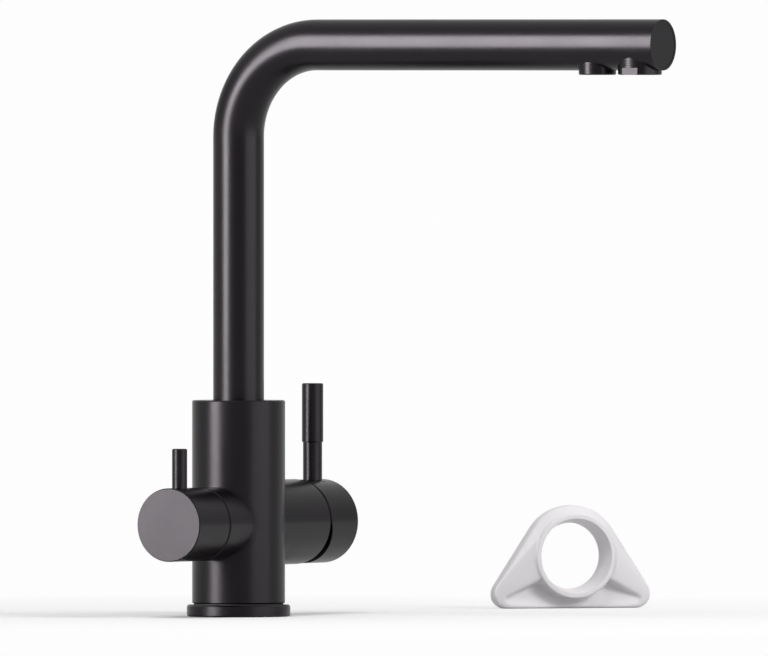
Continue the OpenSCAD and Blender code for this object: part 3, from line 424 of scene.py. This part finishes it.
# %% [markdown]
# ## The stabiliser plate
#
# The white plate goes below a thin sink, round the tap's threaded shank, and stiffens it. It is
# one moulding: a flat three-cornered body that swells into a round collar, with a sloped pocket
# under the collar. We could bevel its edges one by one, but where a collar, a slope and a crease
# meet, bevels tangle. So we block the shape out with plain solids first and soften it all at once
# in the end, just as a warm mould softens every edge. Its place is read from its hole in the
# record, and it is built standing at the origin with its front to -Y.

# %% Set out the plate
PLATE_WIDTH = 0.093
PLATE_HEIGHT = 0.0575
PLATE_EDGE = 0.008
PLATE_DEPTH = 0.0145
CORNER_RADIUS = 0.008
COLLAR_HEIGHT = 0.0293
COLLAR_RADIUS = 0.0237
COLLAR_LIP = 0.0013
HOLE_REAR_RADIUS = 0.0185
HOLE_FRONT_RADIUS = 0.021
HOLE_STRAIGHT = 0.004
CREASE_INNER = Vector((0.020, 0, 0.015))
CREASE_OUTER = Vector((0.0405, 0, 0.0056))
POCKET_TILT = math.radians(12)
POCKET_FADE = 0.0013
FACET_START = 0.9
ROUND_STEPS = 96
REAR = PLATE_DEPTH / 2

plate_hole = next(mount for mount in frame["record"]["mounts"] if mount["name"] == "plate_hole")
plate_rearwards = Vector(plate_hole["axis"])
plate_place = Vector(plate_hole["pos_m"]) - plate_rearwards * REAR
plate_place.z = 0
plate_turn = math.atan2(-plate_rearwards.x, plate_rearwards.y)
print("plate at", [round(v, 4) for v in plate_place], "turned", round(math.degrees(plate_turn), 1))

# %% [markdown]
# ## Blocking out the plate
#
# Four discs standing on edge mark the two lower corners, the rounded top and the collar. A
# convex hull pulls one tight skin over them, which gives the flat rim and the slopes that rise
# to the collar in a single step. The slopes end a little short of the collar's front, so that
# the collar can stand out from them as a lip later on.

# %% Block out the plate's body
def standing_disc(radius, thickness, x, height):
    """A disc on edge, with its back on the plate's rear plane."""
    bpy.ops.mesh.primitive_cylinder_add(
        vertices=ROUND_STEPS,
        radius=radius,
        depth=thickness,
        location=(x, REAR - thickness / 2, height),
        rotation=(math.radians(90), 0, 0),
    )
    return bpy.context.object


def shape_by_hull(pieces):
    """Joins pieces and pulls one skin over them."""
    bpy.ops.object.select_all(action="DESELECT")
    for piece in pieces:
        piece.select_set(True)
    bpy.context.view_layer.objects.active = pieces[0]
    bpy.ops.object.join()
    apply_transforms()
    bpy.ops.object.mode_set(mode="EDIT")
    bpy.ops.mesh.select_all(action="SELECT")
    bpy.ops.mesh.convex_hull()
    bpy.ops.object.mode_set(mode="OBJECT")
    return pieces[0]


corner_x = PLATE_WIDTH / 2 - CORNER_RADIUS
plate = shape_by_hull([
    standing_disc(PLATE_HEIGHT - COLLAR_HEIGHT, PLATE_EDGE, 0, COLLAR_HEIGHT),
    standing_disc(CORNER_RADIUS, PLATE_EDGE, corner_x, CORNER_RADIUS),
    standing_disc(CORNER_RADIUS, PLATE_EDGE, -corner_x, CORNER_RADIUS),
    standing_disc(COLLAR_RADIUS, PLATE_DEPTH - COLLAR_LIP, 0, COLLAR_HEIGHT),
])
plate.name = "stabiliser_plate_moulding"
print("plate body has", len(plate.data.vertices), "corners")

# %% [markdown]
# ## The pocket
#
# The pocket is a block with a roof: two bisecting planes cut a box along the creases, two more
# give it side facets that run out towards the corners, and the block is tilted, so that the
# pocket grows deeper towards the collar. A boolean takes it out of the body.

# %% Cut the pocket
def use_tool(body, tool, operation):
    """Cuts with a solid or adds it, and removes the tool."""
    step = body.modifiers.new("use_tool", "BOOLEAN")
    step.operation = operation
    step.object = tool
    bpy.context.view_layer.objects.active = body
    bpy.ops.object.modifier_apply(modifier=step.name)
    bpy.data.objects.remove(tool)


def pocket_cutter():
    """A box whose roof follows the creases, tilted about the plate's lower front edge."""
    bpy.ops.mesh.primitive_cube_add(size=1)
    cutter = bpy.context.object
    cutter.scale = (2 * CREASE_OUTER.x, 2 * PLATE_DEPTH, 2 * COLLAR_HEIGHT)
    apply_transforms()
    bpy.ops.object.mode_set(mode="EDIT")
    for side in (-1, 1):
        crease = CREASE_OUTER - CREASE_INNER
        bpy.ops.mesh.select_all(action="SELECT")
        bpy.ops.mesh.bisect(
            plane_co=(side * CREASE_INNER.x, 0, CREASE_INNER.z),
            plane_no=(-side * crease.z, 0, crease.x),
            use_fill=True,
            clear_outer=True,
        )
        bpy.ops.mesh.select_all(action="SELECT")
        bpy.ops.mesh.bisect(plane_co=(side * CREASE_INNER.x, 0, 0), plane_no=(1, 0, 0))
    pick_vertices(cutter, lambda place: abs(place.x) > FACET_START * CREASE_OUTER.x and place.y > 0)
    bpy.ops.transform.translate(value=(0, -POCKET_FADE, 0))
    bpy.ops.object.mode_set(mode="OBJECT")
    cutter.rotation_euler.x = -POCKET_TILT
    lean = PLATE_DEPTH * Vector((0, math.cos(POCKET_TILT), -math.sin(POCKET_TILT)))
    cutter.location = Vector((0, REAR - PLATE_EDGE, 0)) - lean
    return cutter


use_tool(plate, pocket_cutter(), "DIFFERENCE")
print("plate with its pocket has", len(plate.data.polygons), "faces")

# %% [markdown]
# ## Softening the moulding
#
# A voxel remesh lays an even skin of half-millimetre squares over a sharp block, whatever the
# booleans left behind. The smooth modifier then draws each point towards its neighbours: flat
# faces stay flat, edges round off, and inner creases fill a little, as in a real mould. The body
# is softened a lot. The collar comes after that and gets a light touch only, so that its rim
# stands out from the body. A decimate modifier then drops points that flat faces don't need.

# %% Soften the body, then the collar
SKIN_SIZE = 0.0005
BODY_ROUNDS = 26
COLLAR_ROUNDS = 6
DRAW_IN_SHARE = 0.5
KEPT_SHARE = 0.4


def soften(body, rounds):
    """Gives a block an even skin and rounds its edges."""
    skin = body.modifiers.new("skin", "REMESH")
    skin.mode = "VOXEL"
    skin.voxel_size = SKIN_SIZE
    draw_in = body.modifiers.new("draw_in", "SMOOTH")
    draw_in.factor = DRAW_IN_SHARE
    draw_in.iterations = rounds
    select_only(body)
    for name in ("skin", "draw_in"):
        bpy.ops.object.modifier_apply(modifier=name)


soften(plate, BODY_ROUNDS)
use_tool(plate, standing_disc(COLLAR_RADIUS, PLATE_DEPTH, 0, COLLAR_HEIGHT), "UNION")
soften(plate, COLLAR_ROUNDS)
lighter = plate.modifiers.new("lighter", "DECIMATE")
lighter.ratio = KEPT_SHARE
bpy.ops.object.modifier_apply(modifier=lighter.name)
print("plate softened to", len(plate.data.polygons), "faces")

# %% [markdown]
# ## Back to size, and the hole
#
# Smoothing draws the moulding in by about a tenth of a millimetre, as a casting shrinks. We
# bring it back to its full size and stand it on its base again. The hole is cut last, straight at
# the rear and opening out to the front, so that its edges stay as crisp as the real one's.

# %% Bring the plate back to size and cut its hole
print("plate measures", [round(side * 1000, 2) for side in plate.dimensions], "mm after smoothing")
plate.dimensions = (PLATE_WIDTH, PLATE_DEPTH, PLATE_HEIGHT)
apply_transforms()
lowest = min(vertex.co.z for vertex in plate.data.vertices)
rearmost = max(vertex.co.y for vertex in plate.data.vertices)
plate.location = (0, REAR - rearmost, -lowest)
apply_transforms()
use_tool(plate, standing_disc(HOLE_REAR_RADIUS, 2 * PLATE_DEPTH, 0, COLLAR_HEIGHT), "DIFFERENCE")
bpy.ops.mesh.primitive_cone_add(
    vertices=ROUND_STEPS,
    radius1=HOLE_REAR_RADIUS,
    radius2=HOLE_FRONT_RADIUS,
    depth=PLATE_DEPTH - HOLE_STRAIGHT,
    location=(0, -HOLE_STRAIGHT / 2, COLLAR_HEIGHT),
    rotation=(math.radians(90), 0, 0),
)
use_tool(plate, bpy.context.object, "DIFFERENCE")
print("plate with its hole has", len(plate.data.polygons), "faces")

# %% [markdown]
# ## Putting the plate in its place
#
# The finished plate is turned and moved to where its engineering twin stands, and the move is
# applied, so that the object itself sits unturned at the origin.

# %% Place the plate
select_only(plate)
plate.rotation_euler.z = plate_turn
plate.location = plate_place
apply_transforms()
bpy.ops.object.shade_smooth_by_angle(angle=SMOOTH_ANGLE)
plate.data.materials.clear()
plate.data.materials.append(white_plastic)
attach(plate, "stabiliser_plate")
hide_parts("mounting_bracket")
print("plate placed at", [round(value, 4) for value in plate_place])

# %% [markdown]
# ## The pale floor
#
# The tap stands on a white surface that runs out of sight. It must look white and still show the
# soft shadow round the foot, and it must not light the tap from below as strongly as a white
# table would. So its colour depends on who looks: the camera, a reflection and a view through
# glass find it white, and light that bounces on from it finds it a middle grey. From the foot
# outwards a plain white glow takes over little by little, so that the floor ends without a
# visible edge.

# %% Lay the floor
FLOOR_SIZE = 60.0
FLOOR_WHITE = (0.93, 0.93, 0.93)
FLOOR_GREY = (0.5, 0.5, 0.5)
FLOOR_ROUGHNESS = 0.6
GLOW_START = 0.02
GLOW_END = 0.6
BACKDROP_WHITE = (0.985, 0.985, 0.985, 1)


def combine(tree, operation, first, second):
    """One step of arithmetic between two sockets."""
    node = tree.nodes.new("ShaderNodeMath")
    node.operation = operation
    tree.links.new(first, node.inputs[0])
    tree.links.new(second, node.inputs[1])
    return node.outputs["Value"]


def rays_that_look(tree):
    """1 for the camera, reflections and views through glass, 0 for light that bounces on."""
    rays = tree.nodes.new("ShaderNodeLightPath")
    looks = combine(tree, "MAXIMUM", rays.outputs["Is Camera Ray"], rays.outputs["Is Glossy Ray"])
    return combine(tree, "MAXIMUM", looks, rays.outputs["Is Transmission Ray"])


def make_floor_white():
    material, tree, shader = new_material("floor_white")
    looks = rays_that_look(tree)
    colour = blend_colours(tree, looks, FLOOR_GREY, FLOOR_WHITE)
    tree.links.new(colour, shader.inputs["Base Color"])
    shader.inputs["Roughness"].default_value = FLOOR_ROUGHNESS
    shader.inputs["Specular IOR Level"].default_value = 0.0
    place = tree.nodes.new("ShaderNodeTexCoord")
    length = tree.nodes.new("ShaderNodeVectorMath")
    length.operation = "LENGTH"
    fade = tree.nodes.new("ShaderNodeMapRange")
    fade.inputs["From Min"].default_value = GLOW_START
    fade.inputs["From Max"].default_value = GLOW_END
    glow = tree.nodes.new("ShaderNodeEmission")
    glow.inputs["Color"].default_value = BACKDROP_WHITE
    mix = tree.nodes.new("ShaderNodeMixShader")
    tree.links.new(place.outputs["Object"], length.inputs[0])
    tree.links.new(length.outputs["Value"], fade.inputs["Value"])
    tree.links.new(combine(tree, "MULTIPLY", looks, fade.outputs["Result"]), mix.inputs[0])
    tree.links.new(shader.outputs["BSDF"], mix.inputs[1])
    tree.links.new(glow.outputs["Emission"], mix.inputs[2])
    tree.links.new(mix.outputs["Shader"], tree.nodes["Material Output"].inputs["Surface"])
    return material


bpy.ops.mesh.primitive_plane_add(size=FLOOR_SIZE, location=(0, 0, 0))
floor = bpy.context.object
floor.name = "floor"
floor.data.materials.append(make_floor_white())
print("laid a floor of", FLOOR_SIZE, "metres")

# %% [markdown]
# ## The studio room
#
# Satin black shows little colour of its own: what we see on it is the room. So the room comes
# first. It is a middle grey all round and dark on the camera's side, which is why the middle of
# every tube looks darkest, and in reflections it is brighter towards the ceiling. We paint it into
# the world, where it costs no geometry and has no edges. Straight behind the tap hangs a white
# backdrop: the camera sees it everywhere, and so do reflections that leave the tap to the rear.

# %% Paint the room and hang the backdrop
ROOM_LEVEL = 0.42
CAMERA_SIDE_LEVEL = 0.05
CEILING_LEVEL = 0.45

world = bpy.data.worlds.new("studio")
bpy.context.scene.world = world
world.use_nodes = True
dome = world.node_tree
dome.nodes.clear()


def dome_ramp(value, start_degrees, end_degrees, low, high):
    """A soft step in the angle away from the camera, from one level to another."""
    ramp = dome.nodes.new("ShaderNodeMapRange")
    ramp.interpolation_type = "SMOOTHSTEP"
    ramp.inputs["From Min"].default_value = math.cos(math.radians(start_degrees))
    ramp.inputs["From Max"].default_value = math.cos(math.radians(end_degrees))
    ramp.inputs["To Min"].default_value = low
    ramp.inputs["To Max"].default_value = high
    dome.links.new(value, ramp.inputs["Value"])
    return ramp.outputs["Result"]


direction = dome.nodes.new("ShaderNodeTexCoord").outputs["Generated"]
facing_node = dome.nodes.new("ShaderNodeVectorMath")
facing_node.operation = "DOT_PRODUCT"
facing_node.inputs[1].default_value = towards_camera
dome.links.new(direction, facing_node.inputs[0])
facing = facing_node.outputs["Value"]

rays = dome.nodes.new("ShaderNodeLightPath")
walls = dome_ramp(
    facing, start_degrees=34, end_degrees=14, low=ROOM_LEVEL, high=CAMERA_SIDE_LEVEL
)
direction_parts = dome.nodes.new("ShaderNodeSeparateXYZ")
dome.links.new(direction, direction_parts.inputs["Vector"])
ceiling = dome.nodes.new("ShaderNodeMapRange")
ceiling.inputs["To Max"].default_value = CEILING_LEVEL
dome.links.new(direction_parts.outputs["Z"], ceiling.inputs["Value"])
ceiling_seen = combine(dome, "MULTIPLY", ceiling.outputs["Result"], rays.outputs["Is Glossy Ray"])
room = dome.nodes.new("ShaderNodeBackground")
room.inputs["Color"].default_value = (1, 1, 1, 1)
dome.links.new(combine(dome, "ADD", walls, ceiling_seen), room.inputs["Strength"])
backdrop = dome.nodes.new("ShaderNodeBackground")
backdrop.inputs["Color"].default_value = BACKDROP_WHITE

straight = combine(dome, "MAXIMUM", rays.outputs["Is Camera Ray"], rays.outputs["Is Transmission Ray"])
to_rear = dome_ramp(facing, start_degrees=143, end_degrees=180, low=0.0, high=1.0)
mirrored = combine(dome, "MULTIPLY", rays.outputs["Is Glossy Ray"], to_rear)
dome_mix = dome.nodes.new("ShaderNodeMixShader")
dome_output = dome.nodes.new("ShaderNodeOutputWorld")
dome.links.new(combine(dome, "MAXIMUM", straight, mirrored), dome_mix.inputs[0])
dome.links.new(room.outputs["Background"], dome_mix.inputs[1])
dome.links.new(backdrop.outputs["Background"], dome_mix.inputs[2])
dome.links.new(dome_mix.outputs["Shader"], dome_output.inputs["Surface"])
print("room painted and backdrop hung")

# %% [markdown]
# ## Softbox, reflector, key light and fill light
#
# The bright line down the left of every tube is the image of a tall softbox, and the weak one on
# the right is the image of a wide reflector. A lamp that is strong enough for that bright line
# would wash out the white plate, because satin black mirrors only a few hundredths of what it
# sees. Photographers solve this with flags and gratings; in Blender we give each lamp one job.
# Softbox and reflector are seen only in reflections. The key light from above and a lower fill
# light from the right, which faces the front of the plate, only bring out colours and soft
# shadows, at a plain level.

# %% Hang the lamps
def hang_lamp(name, degrees_right, elevation, distance, width, height, power, mirrored):
    """A lamp that faces the tap, either mirrored in the gloss or lighting the colours."""
    lamp_data = bpy.data.lights.new(name, "AREA")
    lamp_data.shape = "RECTANGLE"
    lamp_data.size = width
    lamp_data.size_y = height
    lamp_data.energy = power
    lamp = bpy.data.objects.new(name, lamp_data)
    bpy.context.scene.collection.objects.link(lamp)
    azimuth = CAMERA_AZIMUTH + math.radians(degrees_right)
    rise = math.radians(elevation)
    level = Vector((math.sin(azimuth), -math.cos(azimuth), 0)) * math.cos(rise)
    away = level + Vector((0, 0, math.sin(rise)))
    lamp.location = aim + distance * away
    lamp.rotation_mode = "QUATERNION"
    lamp.rotation_quaternion = away.to_track_quat("Z", "Y")
    lamp.visible_camera = False
    lamp.visible_glossy = mirrored
    lamp.visible_diffuse = not mirrored
    return lamp


softbox = hang_lamp(
    "softbox", degrees_right=-61, elevation=14, distance=2.2,
    width=0.85, height=1.9, power=124, mirrored=True,
)
reflector = hang_lamp(
    "reflector", degrees_right=58, elevation=20, distance=2.2,
    width=2.2, height=2.2, power=40, mirrored=True,
)
key_light = hang_lamp(
    "key_light", degrees_right=-16, elevation=60, distance=3.0,
    width=1.4, height=1.4, power=44, mirrored=False,
)
fill_light = hang_lamp(
    "fill_light", degrees_right=60, elevation=30, distance=3.0,
    width=1.0, height=1.0, power=38, mirrored=False,
)
print("hung", softbox.name, reflector.name, key_light.name, "and", fill_light.name)

# %% [markdown]
# ## Finish
#
# Standard view colours show each colour as it was mixed.

# %% Set the view colours
bpy.context.scene.view_settings.view_transform = "Standard"
